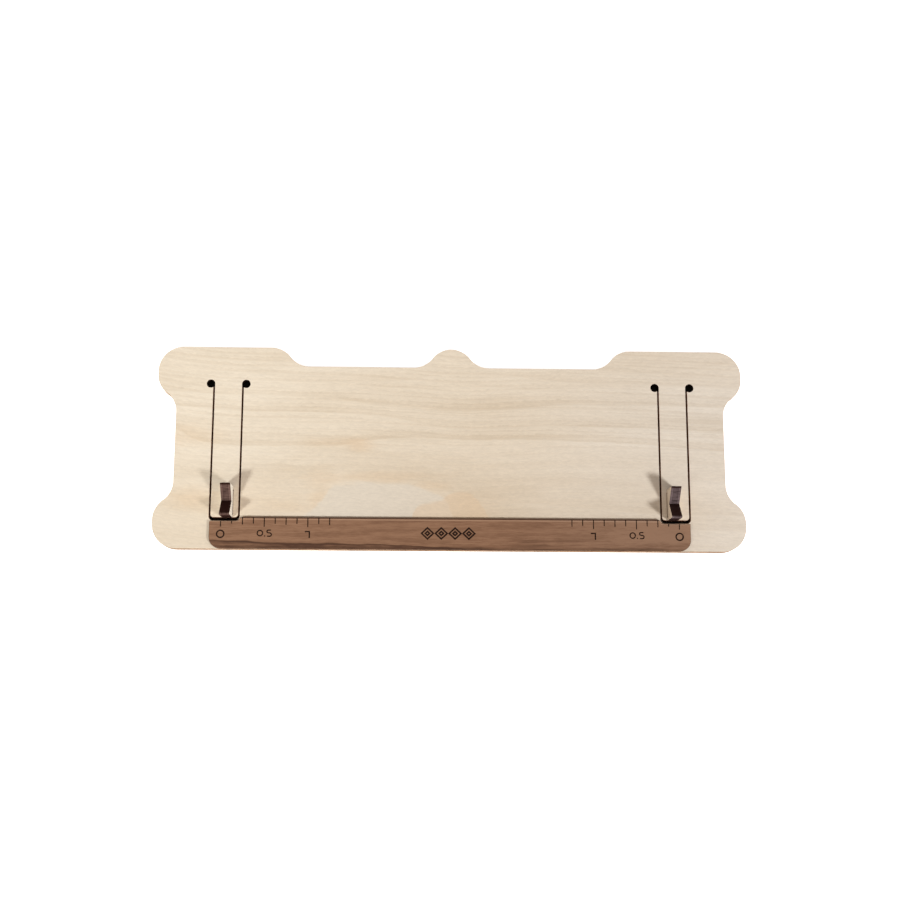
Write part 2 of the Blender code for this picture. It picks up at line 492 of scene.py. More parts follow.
# Growth lines of the top veneer, as (x, y) in millimetres: the wood darkens slowly towards each
# line from behind, then turns pale at once. The last two numbers are its strength and its reach.
GROWTH_LINES = [
    ([(-90, 24.2), (-72, 23.2), (-60, 22.2), (-48, 20.8), (-30, 20.1), (-14, 20.8), (0, 22.8),
      (12, 22.6), (24, 21.8), (38, 20.4), (60, 19.8), (90, 18.8)], 0.45, 2.6),
    ([(-90, 17.0), (-72, 16.1), (-48, 15.3), (-34, 14.8), (-22, 12.9), (-10, 11.8), (2, 11.4),
      (12, 11.8), (24, 12.7), (36, 13.4), (60, 13.4), (90, 13.2)], 0.8, 3.0),
    ([(-90, 12.8), (-72, 11.6), (-60, 11.0), (-36, 10.5), (-24, 9.7), (-12, 8.0), (0, 6.3),
      (12, 6.5), (30, 7.2), (48, 6.6), (66, 6.3), (90, 5.4)], 0.8, 3.0),
    ([(-90, 7.2), (-82, 5.2), (-76, 2.2), (-70, 0.7), (-58, 0.2), (-42, 0.3), (-33, 0.6),
      (-26, 2.3), (-16, 3.1), (0, 2.8), (20, 2.9), (40, 2.5), (60, 1.5), (76, 0.1), (90, -0.9)],
     1.0, 3.2),
    ([(-90, 19.0), (-60, 18.2), (-30, 17.4), (-12, 18.4), (10, 18.9), (30, 17.6), (60, 16.3),
      (90, 16.2)], 0.5, 1.2),
    ([(-90, 27.6), (-40, 25.5), (0, 26.4), (50, 23.4), (66, 24.1), (78, 25.8), (90, 28.6)], 0.4, 2.2),
    ([(-90, -13.2), (-82, -15.0), (-75, -19.2), (-66, -21.6), (-30, -24), (0, -24), (90, -24)], 0.35, 3.0),
    ([(-90, -9.6), (-50, -9.6), (-36, -9.0), (-25, -9.2), (-12, -9.9), (0, -13), (30, -17), (90, -20)],
     0.35, 2.6),
]

# How far the fibres drift towards the back along the plate, as (x, y) in millimetres.
DRIFT = [(-90, 12.3), (-72, 9.6), (-48, 8.7), (-30, 8.5), (-10, 7.5), (2, 6.8), (24, 7.5),
         (36, 7.7), (60, 7.1), (90, 5.9)]

# The pale pool in front of the middle lies in front of this line, as (x, y) in millimetres.
POOL_BACK = [(-90, -34), (-50, -34), (-45, -22), (-41, -18.6), (-37.5, -15.0), (-35, -11.8),
             (-31, -10.6), (-20, -10.2), (-12, -10.9), (-6.5, -13.0), (-2, -15.2), (1, -22),
             (6, -34), (90, -34)]

# A warm pool, which overlaps the pale one's right end, lies in front of this line.
WARM_POOL_BACK = [(-90, -34), (-14, -34), (-12, -24), (-10.6, -18.0), (-9, -16.5), (-3, -15.9),
                  (-1, -14.2), (1.5, -12.9), (5, -13.2), (8, -15.4), (10, -18.4), (13, -25),
                  (18, -34), (90, -34)]

# Warm stains in the top veneer: x, y, half width, half depth in mm, edge softness, strength.
WARM_PATCHES = [
    (-38.8, -15.6, 3.0, 2.4, 0.7, 0.75),
    (-24.0, -8.9, 15.0, 1.6, 0.7, 0.6),
    (-38.5, -10.5, 4.0, 3.4, 0.8, 0.5),
    (-5.5, -11.4, 5.0, 1.5, 0.7, 0.55),
    (-47.0, -17.5, 7.0, 2.6, 0.9, 0.4),
    (8.0, -17.5, 6.0, 3.4, 0.9, 0.35),
    (-27.0, 0.9, 3.4, 1.6, 0.9, 0.9),
    (-33.0, 1.6, 9.0, 1.5, 0.9, 0.5),
    (-77.0, 3.4, 9.0, 3.0, 0.9, 0.6),
    (-76.0, -15.5, 7.0, 2.6, 0.9, 0.8),
    (-58.0, -17.5, 12.0, 5.0, 0.9, 0.25),
]

WARM_PATCH_STRENGTH = 0.55

# Clouds where the top turns darker (+) or paler (-), given as the warm stains are.
CLOUDS = [
    (-50.0, -12.5, 14.0, 8.0, 0.6, 0.31),
    (-21.0, -5.0, 24.0, 5.5, 0.7, 0.32),
    (40.0, -17.0, 20.0, 5.0, 0.7, -0.30),
    (66.0, 3.6, 28.0, 3.0, 0.8, -0.32),
    (-68.0, 16.0, 20.0, 4.5, 0.8, -0.24),
    (22.0, 19.0, 15.0, 4.5, 0.8, -0.15),
    (-40.0, 8.5, 26.0, 3.0, 0.8, 0.13),
    (45.0, 9.0, 30.0, 3.0, 0.8, 0.07),
    (-78.0, -9.0, 8.0, 7.0, 0.8, 0.18),
    (12.0, 12.5, 13.0, 2.2, 0.9, 0.12),
    (70.0, 26.0, 22.0, 5.0, 0.8, 0.10),
]

FACE_PALE = (0.800, 0.714, 0.588)
FACE_DARK = (0.630, 0.522, 0.386)
FACE_WARM = (0.715, 0.552, 0.380)
FACE_POOL = (0.718, 0.650, 0.550)
FACE_COOL_SIDE = (1.010, 1.050, 1.120)
# Browning with painted shade on the plate just behind the strip, where the strip's shadow falls.
FACE_BROWNED_AND_SHADED = (0.36, 0.21, 0.12)
BROWNED_SHADE_WIDTH_MM = 0.65
UNDERSIDE_COLOURS = (0.70, 0.59, 0.43), (0.58, 0.46, 0.31)
# The posts' faces are lit and shaded copies of one ply: the left post's is painted paler, painted light
# where the right lamp strikes it, and the right post's darker, painted shade.
POST_FACE_LIT_AND_SHADED = {
    "left": ((0.93, 0.88, 0.79), (0.86, 0.78, 0.66)),
    "right": ((0.74, 0.62, 0.48), (0.64, 0.51, 0.37)),
}
# How far off, in millimetres, each plain veneer is cut from the same made-up wood.
UNDERSIDE_OFFSET = 37.0
POST_FACE_OFFSET = 91.0


def wood_patch(n, place, wobble, x, y, half_x, half_y, softness):
    """1 inside an uneven oval of the veneer, 0 outside it."""
    offset = n.vector("SUBTRACT", place, (x, y, 0))
    scaled = n.vector("MULTIPLY", offset, (1 / half_x, 1 / half_y, 0))
    distance = n.total(n.length(scaled), wobble)
    return n.remap(distance, 1 + softness, 1 - softness)


def veneer_parts(n, place):
    """Noises that every pale veneer shares, along the grain in X: (wobble, fibre, fleck, fine)."""
    wobble = n.noise(n.vector("MULTIPLY", place, (0.045, 0.30, 0.3)), detail=3)
    fibre = n.noise(n.vector("MULTIPLY", place, (0.11, 1.15, 0.8)), detail=3, roughness=0.6)
    fleck = n.noise(n.vector("MULTIPLY", place, (0.62, 2.1, 1.2)), detail=3, roughness=0.7)
    fine = n.noise(n.vector("MULTIPLY", place, (1.1, 6.5, 2.0)), detail=2)
    return wobble, fibre, fleck, fine


def finish_veneer(n, colour, fibre, fleck, fine):
    """Soft fibres and short flecks over the colour, a slight relief, and a bare satin surface."""
    lines = n.remap(fibre, 0.28, 0.72, 0.982, 1.014, smooth=False)
    dashes = n.remap(fleck, 0.30, 0.70, 0.938, 1.054, smooth=False)
    grain = n.remap(fine, 0.25, 0.75, 0.982, 1.014, smooth=False)
    shade = n.product(n.product(lines, dashes), grain)
    grey = n.add("ShaderNodeCombineColor", {0: shade, 1: shade, 2: shade}).outputs[0]
    colour = n.tint(colour, grey)
    n.bump(n.total(fleck, fine), 0.22, 0.03)
    n.shader.inputs["Specular IOR Level"].default_value = 0.3
    return n.finish(colour, n.remap(fleck, 0.2, 0.8, 0.56, 0.70))


def growth_bands(n, x, y):
    """0 on pale wood up to 1 on the dark side of a growth line."""
    bands = 0.0
    for points, strength, reach in GROWTH_LINES:
        height = n.curve(x, points)
        behind = n.difference(y, height)
        edge = n.remap(behind, -0.10, 0.30)
        fade = n.math("EXPONENT", n.math("DIVIDE", behind, -reach))
        band = n.product(n.product(edge, fade), strength)
        bands = n.math("MAXIMUM", bands, n.math("MINIMUM", band, 1.0))
    return bands


def veneer_tone(n, place, along, drift, fleck, wobble, ripple):
    """0 on the palest part of the plate's top, 1 on the darkest; painted shade towards the front is part
    of it.
    """
    x, y, _ = n.split(place)
    uneven = n.product(n.difference(wobble, 0.5), 1.7)
    uneven = n.total(uneven, n.remap(fleck, 0.3, 0.7, -0.3, 0.3, smooth=False))
    bands = growth_bands(n, x, n.total(y, uneven))
    broad = n.noise(n.vector("MULTIPLY", along, (0.02, 0.11, 0.1)), detail=2)
    rings_y = n.total(n.difference(y, drift), n.product(uneven, 0.6))
    rings = n.noise(n.join(n.product(x, 0.016), n.product(rings_y, 1.15), 0.0), detail=2)
    tone = n.total(n.product(bands, 0.52), n.remap(broad, 0.3, 0.75, -0.05, 0.20))
    tone = n.total(tone, n.product(n.remap(rings, 0.44, 0.62), n.remap(y, -6, 6, 0.10, 0.24)))
    # Painted shade: the middle of the top darkens towards the front, where the lamps' light fell off, and
    # the left end darkens towards the front too.
    middle = n.remap(n.absolute(n.difference(x, 20)), 75, 25)
    front = n.product(n.remap(y, 2, -20), middle)
    left_front = n.product(n.remap(y, -8, -20), n.remap(x, -55, -72))
    tone = n.total(tone, n.product(front, 0.52), n.product(left_front, 0.34))
    for cloud_x, cloud_y, half_x, half_y, softness, amount in CLOUDS:
        mask = wood_patch(n, place, ripple, cloud_x, cloud_y, half_x, half_y, softness)
        tone = n.total(tone, n.product(mask, amount))
    return n.kept_in_range(tone)


def stain_veneer(n, colour, place, ripple):
    """The colour with the warm stains and the two pools over it."""
    x, y, _ = n.split(place)
    for stain_x, stain_y, half_x, half_y, softness, strength in WARM_PATCHES:
        mask = wood_patch(n, place, ripple, stain_x, stain_y, half_x, half_y, softness)
        colour = n.mix(n.product(mask, strength * WARM_PATCH_STRENGTH), colour, FACE_WARM)
    rippled_y = n.difference(y, n.product(ripple, 2.2))
    inside = n.difference(n.curve(x, POOL_BACK), rippled_y)
    colour = n.mix(n.remap(inside, -0.5, 0.9, 0.0, 0.88), colour, FACE_POOL)
    inside = n.difference(n.curve(x, WARM_POOL_BACK), rippled_y)
    return n.mix(n.remap(inside, -0.4, 0.8, 0.0, 0.55), colour, FACE_WARM)


def make_top_veneer():
    """The plate's top: pale birch with soft growth lines, a lighter pool and warm stains, painted shade
    towards the front, and browning with painted shade behind the strip.
    """
    n = Nodes("plywood_top")
    place = n.rest_mm()
    x, y, z = n.split(place)
    drift = n.curve(x, DRIFT)
    along = n.join(x, n.difference(y, drift), z)
    wobble, fibre, fleck, fine = veneer_parts(n, along)
    edge_noise = n.noise(n.vector("MULTIPLY", along, (0.11, 0.5, 0.1)), detail=3)
    ripple = n.remap(edge_noise, 0.2, 0.8, -0.35, 0.35, smooth=False)
    tone = veneer_tone(n, place, along, drift, fleck, wobble, ripple)
    colour = stain_veneer(n, n.mix(tone, FACE_PALE, FACE_DARK), place, ripple)
    cool_side = n.product(n.remap(x, 5, 80), n.remap(y, 28, 14, 0.5, 1.0))
    colour = n.tint(colour, n.mix(cool_side, (1, 1, 1), FACE_COOL_SIDE))
    # Painted shade, with browning: the plate darkens just behind the strip's back edge, where the strip's
    # shadow falls.
    behind_strip = n.difference(y, STRIP_BACK / MM)
    beside_strip = n.remap(n.absolute(x), STRIP_STEP_X / MM + 0.4, STRIP_STEP_X / MM - 0.4)
    browned_and_shaded = n.product(n.remap(behind_strip, BROWNED_SHADE_WIDTH_MM, 0.0, 0.0, 0.42), beside_strip)
    colour = n.mix(browned_and_shaded, colour, FACE_BROWNED_AND_SHADED)
    return finish_veneer(n, colour, fibre, fleck, fine)


def make_plain_veneer(name, offset, pale, dark):
    """Bare pale ply for the underside and the posts, with soft bands from noise alone."""
    n = Nodes(name)
    place = n.vector("ADD", n.rest_mm(), (offset, offset, 0))
    wobble, fibre, fleck, fine = veneer_parts(n, place)
    _, y, _ = n.split(place)
    bands = n.math("FRACT", n.total(n.product(y, 0.19), n.product(wobble, 2.4)))
    colour = n.mix(n.product(bands, 0.5), pale, dark)
    return finish_veneer(n, colour, fibre, fleck, fine)


# Laser-cut edges, as the colour between and on the sooty streaks.
OUTER_EDGE = (0.50, 0.34, 0.22), (0.17, 0.095, 0.058)
SLOT_EDGE = (0.43, 0.25, 0.17), (0.14, 0.077, 0.056)
# The relief holes' walls are charred and painted near black, painted shade so that the holes read as dark.
HOLE_CHAR_AND_SHADE = (0.030, 0.017, 0.013), (0.010, 0.006, 0.005)
# The right post's edge is painted greyer and bluer than the left's: a painted sheen of the sky on its
# notch's slope.
POST_EDGES_AND_SHEEN = {
    "left": ((0.170, 0.103, 0.087), (0.048, 0.026, 0.021)),
    "right": ((0.185, 0.138, 0.142), (0.058, 0.040, 0.041)),
}
# Near-black for painted shade on the posts' notches and at their feet, with soot.
SOOT_AND_NOTCH_SHADE = (0.022, 0.0075, 0.0055)
GLUE_LINE_MM = 0.75


def notch_shade_and_soot(n, place, notch_y_mm):
    """1 where a post's edge is painted dark: painted shade on its notch's front slope, which faces away
    from the lamps, a dark line along its back crest, and painted contact shade with soot at its front
    foot.
    """
    _, y, z = n.split(place)
    half_notch = NOTCH_WIDTH / 2 / MM
    from_notch = n.difference(y, notch_y_mm)
    before_middle = n.remap(from_notch, 0.15, -0.15)
    past_front_tip = n.remap(from_notch, -half_notch, 0.25 - half_notch)
    shaded_front_slope = n.product(before_middle, past_front_tip)
    back_crest = n.remap(from_notch, half_notch - 0.35, half_notch - 0.1)
    low_down = n.remap(z, SHEET / MM + 7.0, SHEET / MM + 3.2, 0.0, 0.97)
    foot_shade_and_soot = n.product(before_middle, low_down)
    return n.math("MAXIMUM", n.math("MAXIMUM", shaded_front_slope, back_crest), foot_shade_and_soot)


def make_burnt_edge(name, across, middle_mm, pale, dark, notch_y_mm=None):
    """A laser-cut edge: three plies toasted by the beam, with thin dark glue lines and streaks."""
    n = Nodes(name)
    place = n.rest_mm()
    depth = n.split(place)["XYZ".index(across)]
    from_middle = n.absolute(n.difference(depth, middle_mm))
    streak_scale = (0.5, 2.5, 2.5) if across == "X" else (2.5, 2.5, 0.5)
    streaks = n.noise(n.vector("MULTIPLY", place, streak_scale), detail=3, roughness=0.6)
    soot = n.noise(n.vector("MULTIPLY", place, (0.35, 0.35, 0.35)), detail=2)
    core = n.remap(from_middle, 0.85, 0.65)
    glue = n.remap(n.absolute(n.difference(from_middle, GLUE_LINE_MM)), 0.09, 0.02)
    tone = n.total(n.product(core, 0.3), n.remap(streaks, 0.3, 0.7, 0.0, 0.5))
    tone = n.total(tone, n.remap(soot, 0.35, 0.7, 0.0, 0.3), n.product(glue, 0.6))
    colour = n.mix(n.kept_in_range(tone), pale, dark)
    # On a post, painted shade darkens the notch's front slope and the foot.
    if notch_y_mm is not None:
        colour = n.mix(n.product(notch_shade_and_soot(n, place, notch_y_mm), 0.9), colour, SOOT_AND_NOTCH_SHADE)
    n.bump(streaks, 0.4, 0.04)
    n.shader.inputs["Specular IOR Level"].default_value = 0.0
    return n.finish(colour, 0.85)


WALNUT_PALE = (0.300, 0.165, 0.097)
WALNUT_MID = (0.220, 0.114, 0.064)
WALNUT_DARK = (0.075, 0.033, 0.018)
# Colour of the painted highlight lines along the strip's back edges.
WALNUT_HIGHLIGHT = (0.42, 0.26, 0.17)
WALNUT_COOL_SIDE = (1.00, 1.07, 1.15)
WALNUT_SCORCHED = (0.060, 0.024, 0.013)
WALNUT_EDGE = (0.13, 0.07, 0.042), (0.05, 0.026, 0.016)
ENGRAVING_COLOURS = (0.040, 0.019, 0.012), (0.014, 0.007, 0.005)

# Widths in millimetres of the scorched line along the strip's back edge, and from its end to the
# middle of the painted highlight line that follows it.
SCORCH_WIDTH = 0.30
HIGHLIGHT_LINE_PAST_SCORCH = 0.28

# The dark vein near the strip's front edge, as (x, y) in millimetres.
VEIN = [(-75, -28.0), (-66, -28.1), (-60, -28.35), (-54, -28.65), (-46, -28.95), (-40, -28.85),
        (-30, -28.95), (-20, -29.1), (-8, -29.5), (10, -30.4), (80, -31)]


def walnut_streaks(n, place):
    """How dark the walnut is, from soft streaks, pores and the vein; also the fine noise and pores."""
    x, y, _ = n.split(place)
    broad = n.noise(n.vector("MULTIPLY", place, (0.060, 0.75, 0.5)), detail=3, distortion=0.15)
    fine = n.noise(n.vector("MULTIPLY", place, (0.30, 3.0, 1.0)), detail=4, roughness=0.7)
    pores = n.noise(n.vector("MULTIPLY", place, (0.7, 8.0, 1.0)), detail=2)
    wave = n.noise(n.vector("MULTIPLY", place, (0.12, 0.1, 0)), detail=2)
    vein_line = n.curve(x, VEIN, x_range=(-75, 80), y_range=(-40, -20))
    vein_y = n.total(vein_line, n.remap(wave, 0.3, 0.7, -0.15, 0.15))
    before_vein = n.difference(vein_y, y)
    wide = n.remap(n.absolute(n.total(x, 46)), 22, 6, 0.26, 0.55)
    vein = n.remap(n.math("DIVIDE", n.absolute(before_vein), wide), 1.0, 0.1)
    shaded = n.product(n.remap(before_vein, -0.45, 0.15), n.remap(before_vein, 1.6, 0.3, 0.55, 1.0))
    from_dark_part = n.absolute(n.difference(x, 26))
    dark_part = n.product(n.remap(y, -26.0, -28.5), n.remap(from_dark_part, 26, 12))
    streaks = n.product(dark_part, n.remap(broad, 0.42, 0.60))
    front_edge = n.remap(y, -29.2, -29.9)
    tone = n.total(n.remap(broad, 0.36, 0.72, 0.08, 0.36), n.remap(fine, 0.36, 0.72, 0.0, 0.31))
    tone = n.total(tone, n.product(vein, 0.50), n.product(shaded, 0.48))
    tone = n.total(tone, n.product(streaks, 0.30), n.product(front_edge, 0.40))
    tone = n.difference(tone, n.product(n.remap(x, 42, 58), n.remap(y, -29, -26.5, 0.05, 0.30)))
    return n.total(tone, n.remap(pores, 0.6, 0.78, 0.0, 0.16)), fine, pores


def make_walnut():
    """The strip's top: matt walnut with its grain along the ruler, a scorched line at the back and painted
    highlight lines along its back edges.
    """
    n = Nodes("walnut_top")
    place = n.rest_mm()
    tone, fine, pores = walnut_streaks(n, place)
    colour = n.mix(n.remap(tone, 0.0, 0.5), WALNUT_PALE, WALNUT_MID)
    colour = n.mix(n.remap(tone, 0.35, 1.25), colour, WALNUT_DARK)
    x, y, _ = n.split(place)
    from_back = n.difference(STRIP_BACK / MM, y)
    # Painted highlight: a pale line just in front of the scorched one.
    from_painted_highlight_line = n.absolute(n.difference(from_back, SCORCH_WIDTH + HIGHLIGHT_LINE_PAST_SCORCH))
    colour = n.mix(n.remap(from_painted_highlight_line, 0.28, 0.06, 0.0, 0.7), colour, WALNUT_HIGHLIGHT)
    scorch = n.remap(from_back, SCORCH_WIDTH + 0.12, SCORCH_WIDTH - 0.06, 0.0, 0.92)
    colour = n.mix(scorch, colour, WALNUT_SCORCHED)
    # Painted highlight along the strip's back edge beside the tongues.
    past_step = n.remap(n.absolute(x), STRIP_STEP_X / MM + 0.2, STRIP_STEP_X / MM + 1.2)
    back_at_tongues = STRIP_BACK_AT_TONGUES / MM
    painted_highlight = n.remap(y, back_at_tongues - 0.40, back_at_tongues - 0.12, 0.0, 0.55)
    colour = n.mix(n.product(painted_highlight, past_step), colour, WALNUT_HIGHLIGHT)
    colour = n.tint(colour, n.mix(n.remap(x, 10, 65), (1, 1, 1), WALNUT_COOL_SIDE))
    n.bump(n.difference(fine, pores), 0.25, 0.03)
    n.shader.inputs["Specular IOR Level"].default_value = 0.25
    return n.finish(colour, n.remap(fine, 0.2, 0.8, 0.55, 0.72))


def make_scorched_walnut(name, pale, dark):
    """Walnut that the laser has cut or engraved."""
    n = Nodes(name)
    soot = n.noise(n.vector("MULTIPLY", n.rest_mm(), (1.2, 3.0, 3.0)), detail=3)
    n.bump(soot, 0.35, 0.03)
    n.shader.inputs["Specular IOR Level"].default_value = 0.1
    return n.finish(n.mix(n.remap(soot, 0.3, 0.7), pale, dark), 0.85)


# ---------------------------------------------------------------- the sheet: plate and tongues


def make_sheet():
    """The whole plywood sheet before its tongues are told apart from the plate."""
    outlines = [plate_outline()]
    for side in SIDES.values():
        outlines.append(moved(slot_outline(), side * TONGUE_X))
        mortise = rectangle(SHEET / 2 + MORTISE_GAP, TAB_LENGTH / 2 + MORTISE_GAP)
        outlines.append(moved(mortise, side * POST_X, POST_Y))
    return slab("sheet", outlines, 0.0, SHEET, EDGE_ROUND)


def tongue_cutter(side):
    """A box round one tongue: its sides run in the slots, so only its back face cuts wood."""
    half = TONGUE_WIDTH / 2 + KERF_GAP / 2
    x = side * TONGUE_X
    low = (x - half, TONGUE_TIP - TIP_GAP / 2, -SHEET)
    high = (x + half, ROOT_CUT, 2 * SHEET)
    return block("cutter", low, high)


def slice_for_bending(piece):
    """Cuts a tongue across, so that its long faces can curve."""
    shape = bmesh.new()
    shape.from_mesh(piece.data)
    slices = math.floor((ROOT_CUT - BEND_END) / BEND_SLICE)
    for number in range(slices + 1):
        everything = shape.verts[:] + shape.edges[:] + shape.faces[:]
        place = (0, BEND_END + number * BEND_SLICE, 0)
        bmesh.ops.bisect_plane(shape, geom=everything, dist=1e-7, plane_co=place, plane_no=(0, 1, 0))
    shape.to_mesh(piece.data)
    shape.free()


def choose_ply_face(face):
    """0 is the top veneer, 1 the underside, 2 the outer edge, 3 a slot's wall and 4 a relief hole's."""
    if is_flat_face(face):
        return 0 if face.normal.z > 0 else 1
    across = abs(abs(face.center.x) - TONGUE_X)
    reach = TONGUE_WIDTH / 2 + 2 * RELIEF_HOLE_RADIUS + LEEWAY
    front = TONGUE_TIP - TIP_GAP - LEEWAY
    back = TONGUE_ROOT + RELIEF_HOLE_RADIUS + LEEWAY
    if across < reach and front < face.center.y < back:
        return 4 if face.center.y > TONGUE_ROOT - RELIEF_HOLE_RADIUS else 3
    return 2


def make_plate_and_tongues(materials):
    sheet = make_sheet()
    plate = sheet
    for name, side in SIDES.items():
        cutter = tongue_cutter(side)
        tongue = boolean(sheet, cutter, "INTERSECT", name=name + "_spring_tongue")
        slice_for_bending(tongue)
        paint(tongue, materials, choose_ply_face)
        finish_mesh(tongue)
        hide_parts(name + "_tongue")
        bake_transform(tongue)
        plate = boolean(plate, cutter, "DIFFERENCE")
        remove(cutter)
    plate.name = "loom_plate"
    paint(plate, materials, choose_ply_face)
    finish_mesh(plate)
    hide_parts("base_plate")
    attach(plate, "plate")


# ---------------------------------------------------------------- the posts


def make_post(name, side, face_material, edge_material):
    """A post on its tongue: ply standing on edge across X, an open V on top, a tab below."""
    post = slab(name + "_cord_post", [post_outline()], -SHEET / 2, SHEET / 2, POST_EDGE_ROUND)
    upright = Matrix(((0, 0, 1), (1, 0, 0), (0, 1, 0))).to_4x4()
    post.data.transform(Matrix.Translation((side * POST_X, POST_Y, 0)) @ upright)
    post.data.update()
    paint(post, [face_material, edge_material], lambda face: 0 if abs(face.normal.x) > 0.999 else 1)
    finish_mesh(post)
    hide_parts(name + "_post")
    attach(post, name + "_arm")


# ---------------------------------------------------------------- the ruler strip


def stroke_outline(path, width, cyclic=False):
    """The closed outline, or the two outlines of a ring, of a line drawn with a flat pen."""
    points = [Vector(p) for p in path]
    count = len(points)
    left, right = [], []
    for i, point in enumerate(points):
        before = points[i - 1] if cyclic or i else point
        after = points[(i + 1) % count] if cyclic or i < count - 1 else point
        into = (point - before).normalized() if before != point else (after - point).normalized()
        out = (after - point).normalized() if after != point else into
        normal_in, normal_out = Vector((-into.y, into.x)), Vector((-out.y, out.x))
        along = (normal_in + normal_out).normalized()
        reach = width / 2 / max(SHARPEST_MITRE, along.dot(normal_in))
        left.append(tuple(point + along * reach))
        right.append(tuple(point - along * reach))
    if cyclic:
        return [left, right]
    return [right + left[::-1]]


def arc(x, y, radius_x, radius_y, start, end, steps):
    """Points on an oval arc; angles in degrees, anticlockwise from +X."""
    angles = [math.radians(start + (end - start) * i / steps) for i in range(steps + 1)]
    return [(x + radius_x * math.cos(a), y + radius_y * math.sin(a)) for a in angles]


def zero_strokes(radius_x, radius_y):
    ring = arc(0, 0, radius_x, radius_y, 0, 360, 40)[:-1]
    return [(ring, True)]


def one_strokes():
    half = 0.95 * MM
    path = [(-0.75 * MM, half - 0.2 * MM), (-0.62 * MM, half), (0.5 * MM, half), (0.5 * MM, -half)]
    return [(path, False)]


def half_strokes():
    """The figures 0.5 as a small ring, a point and a five."""
    ring = [(x - 1.18 * MM, y) for x, y in zero_strokes(0.78 * MM, 0.80 * MM)[0][0]]
    dot = [(0.05 * MM, -0.83 * MM), (0.38 * MM, -0.83 * MM)]
    five = [(2.02 * MM, 0.9 * MM), (1.25 * MM, 0.9 * MM)]
    five += arc(1.25 * MM, 0.5 * MM, 0.4 * MM, 0.4 * MM, 110, 250, 7)
    five += arc(1.72 * MM, -0.42 * MM, 0.44 * MM, 0.48 * MM, 90, -90, 9)
    five.append((0.92 * MM, -0.9 * MM))
    return [(ring, True), (dot, False), (five, False)]


def motif_strokes():
    """A row of lozenges, each with a smaller one inside, in the middle of the strip."""
    strokes = []
    for number in range(LOZENGE_COUNT):
        x = (number - (LOZENGE_COUNT - 1) / 2) * LOZENGE_SPACING
        for half_x, half_y in LOZENGE_HALF_SIZES:
            corners = [(x + half_x, 0), (x, half_y), (x - half_x, 0), (x, -half_y)]
            strokes.append((corners, True))
    return strokes


def engraving_cutters():
    """Blocks for every mark, numeral and lozenge, ready to be cut from the strip's top."""
    low, high = STRIP_TOP - ENGRAVING_DEPTH, STRIP_TOP + ENGRAVING_DEPTH
    drawings = []
    for side in SIDES.values():
        for mark in range(MARK_COUNT):
            if mark % 4 == 0:
                end = MARK_END_HALF
            elif mark % 2 == 0:
                end = MARK_END_QUARTER
            else:
                end = MARK_END_EIGHTH
            x = side * (ZERO_X - mark * INCH / 8)
            line = [(x, end), (x, STRIP_BACK + MM)]
            drawings.append(([(line, False)], 0, 0, MARK_WIDTH))
        figures = (
            (zero_strokes(1.06 * MM, 1.04 * MM), 0.0, 4.3 * MM, 1.05),
            (half_strokes(), 0.5 * INCH, 4.6 * MM, 0.85),
            (one_strokes(), 1.0 * INCH, 4.2 * MM, 0.95),
        )
        for strokes, from_zero, y, weight in figures:
            x = side * (ZERO_X - from_zero)
            drawings.append((strokes, x, FRONT + y, NUMERAL_STROKE * weight))
    drawings.append((motif_strokes(), *MOTIF_PLACE, MOTIF_STROKE))

    cutters = []
    for strokes, x, y, width in drawings:
        for path, cyclic in strokes:
            outlines = [moved(o, x, y) for o in stroke_outline(path, width, cyclic)]
            outlines.sort(key=lambda o: -abs(signed_area(o)))
            cutters.append(slab("cutter", outlines, low, high))
    return cutters


def make_strip(top, edge, engraved):
    strip = slab("walnut_ruler", [strip_outline()], SHEET, STRIP_TOP, STRIP_EDGE_ROUND)
    for cutter in engraving_cutters():
        strip = boolean(strip, cutter, "DIFFERENCE")
        remove(cutter)
    floor_level = STRIP_TOP - ENGRAVING_DEPTH

    def choose_part(face):
        """0 is the top, 1 the outer edge and the underside, 2 the engraving."""
        if is_flat_face(face):
            if face.center.z > STRIP_TOP - STRIP_LEEWAY:
                return 0
            return 2 if face.center.z > floor_level - STRIP_LEEWAY else 1
        lowest = min(strip.data.vertices[v].co.z for v in face.vertices)
        return 2 if lowest > floor_level - STRIP_LEEWAY / 2 and abs(face.normal.z) < 0.05 else 1

    paint(strip, [top, edge, engraved], choose_part)
    finish_mesh(strip)
    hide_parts("ruler_strip")
    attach(strip, "plate")


# ---------------------------------------------------------------- stage, light and camera

FLOOR_HALF_SIZE = 20
FLOOR_GLOW = 0.85
FLOOR_PALE = (0.90, 0.90, 0.90)
# Painted shade: the dark floor under the loom, seen through its slots and holes.
FLOOR_SHADE_UNDER_LOOM = (0.03, 0.03, 0.03)
DARK_HALF_WIDTH = 0.076
DARK_HALF_DEPTH = 0.023
DARK_FADE = 0.003

# The lamps, in metres and watts: name, soft radius, place, aim, colour, power. The left one's soft
# edge crosses the plate, so that it hardly reaches the right post.
LAMPS = [
    ("front_left_light", 0.055, (-0.456, -0.359, 0.477), (-0.22, 0, 0), (0.96, 1.0, 0.99), 17.1),
    ("front_right_light", 0.095, (0.677, -0.518, 0.691), (0.22, 0, 0), (1.0, 0.995, 0.99), 37.4),
]
LAMP_CONE = math.radians(45)
SKY_HORIZON = (1.0, 1.0, 1.0, 1)
SKY_OVERHEAD = (0.350, 0.292, 0.252, 1)

CAMERA_PLACE = (-12.52 * MM, -77.79 * MM, 398.13 * MM)
CAMERA_AZIMUTH = math.radians(8.933)
CAMERA_DOWN = math.radians(78.793)
CAMERA_ROLL = math.radians(9.257)
CAMERA_LENS = 54.245
CAMERA_SENSOR = 36.0


